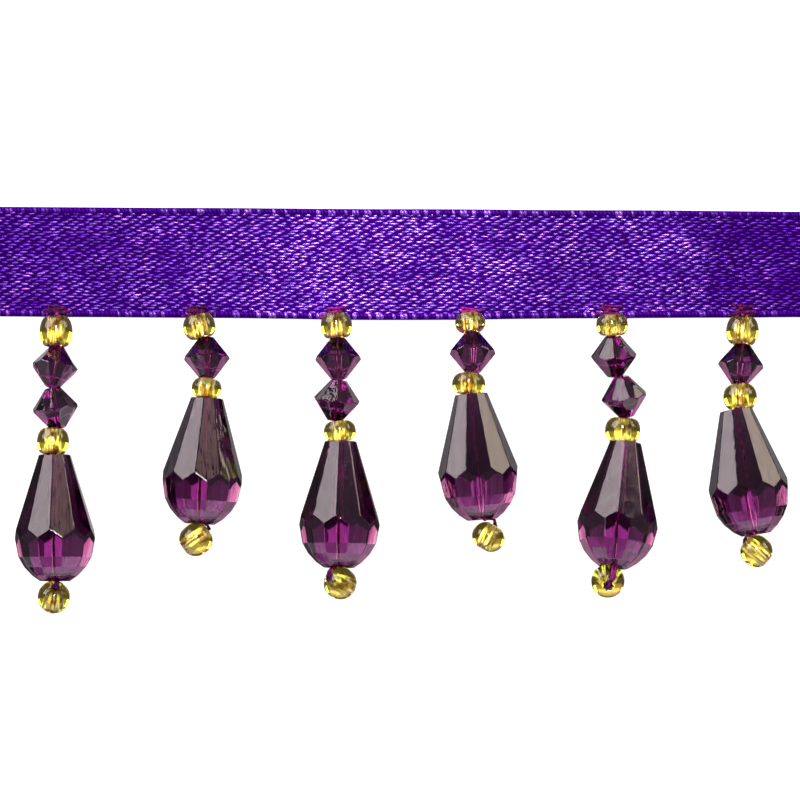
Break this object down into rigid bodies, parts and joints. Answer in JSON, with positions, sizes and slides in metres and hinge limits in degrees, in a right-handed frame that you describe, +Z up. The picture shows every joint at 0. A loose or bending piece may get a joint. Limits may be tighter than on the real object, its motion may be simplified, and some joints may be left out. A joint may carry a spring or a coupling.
{
  "type": "beaded fringe ribbon trimming",
  "caption": "Flat length of purple satin ribbon edged with alternating long and short drops of faceted plum teardrop, bicone and gold seed beads, for sewing or gluing along an edge.",
  "frame": {"origin": "middle of the underside of the whole trimming as it lies flat, on the surface it rests on", "axes": "+X along the ribbon to the right seen from its face, +Y from the bead drops towards the ribbon's plain edge, +Z up out of the ribbon's shiny face"},
  "size_m": [0.077, 0.0376, 0.0075],
  "materials": {
    "satin": "woven polyester satin, glossy floats on a deep violet ground",
    "plum_acrylic": "clear plum acrylic, cut facets, high gloss",
    "gold_glass": "yellow glass with a silver-lined hole",
    "magenta_thread": "twisted sewing thread"
  },
  "bodies": {
    "root": {"ribbon": "satin", "drop_1_top_seed": "gold_glass", "drop_1_bicone_1": "plum_acrylic", "drop_1_bicone_2": "plum_acrylic", "drop_1_mid_seed": "gold_glass", "drop_1_teardrop": "plum_acrylic", "drop_1_end_seed": "gold_glass", "drop_1_thread": "magenta_thread", "drop_2_top_seed": "gold_glass", "drop_2_bicone_1": "plum_acrylic", "drop_2_mid_seed": "gold_glass", "drop_2_teardrop": "plum_acrylic", "drop_2_end_seed": "gold_glass", "drop_2_thread": "magenta_thread", "drop_3_top_seed": "gold_glass", "drop_3_bicone_1": "plum_acrylic", "drop_3_bicone_2": "plum_acrylic", "drop_3_mid_seed": "gold_glass", "drop_3_teardrop": "plum_acrylic", "drop_3_end_seed": "gold_glass", "drop_3_thread": "magenta_thread", "drop_4_top_seed": "gold_glass", "drop_4_bicone_1": "plum_acrylic", "drop_4_mid_seed": "gold_glass", "drop_4_teardrop": "plum_acrylic", "drop_4_end_seed": "gold_glass", "drop_4_thread": "magenta_thread", "drop_5_top_seed": "gold_glass", "drop_5_bicone_1": "plum_acrylic", "drop_5_bicone_2": "plum_acrylic", "drop_5_mid_seed": "gold_glass", "drop_5_teardrop": "plum_acrylic", "drop_5_end_seed": "gold_glass", "drop_5_thread": "magenta_thread", "drop_6_top_seed": "gold_glass", "drop_6_bicone_1": "plum_acrylic", "drop_6_mid_seed": "gold_glass", "drop_6_teardrop": "plum_acrylic", "drop_6_end_seed": "gold_glass", "drop_6_thread": "magenta_thread"}
  },
  "joints": []
}
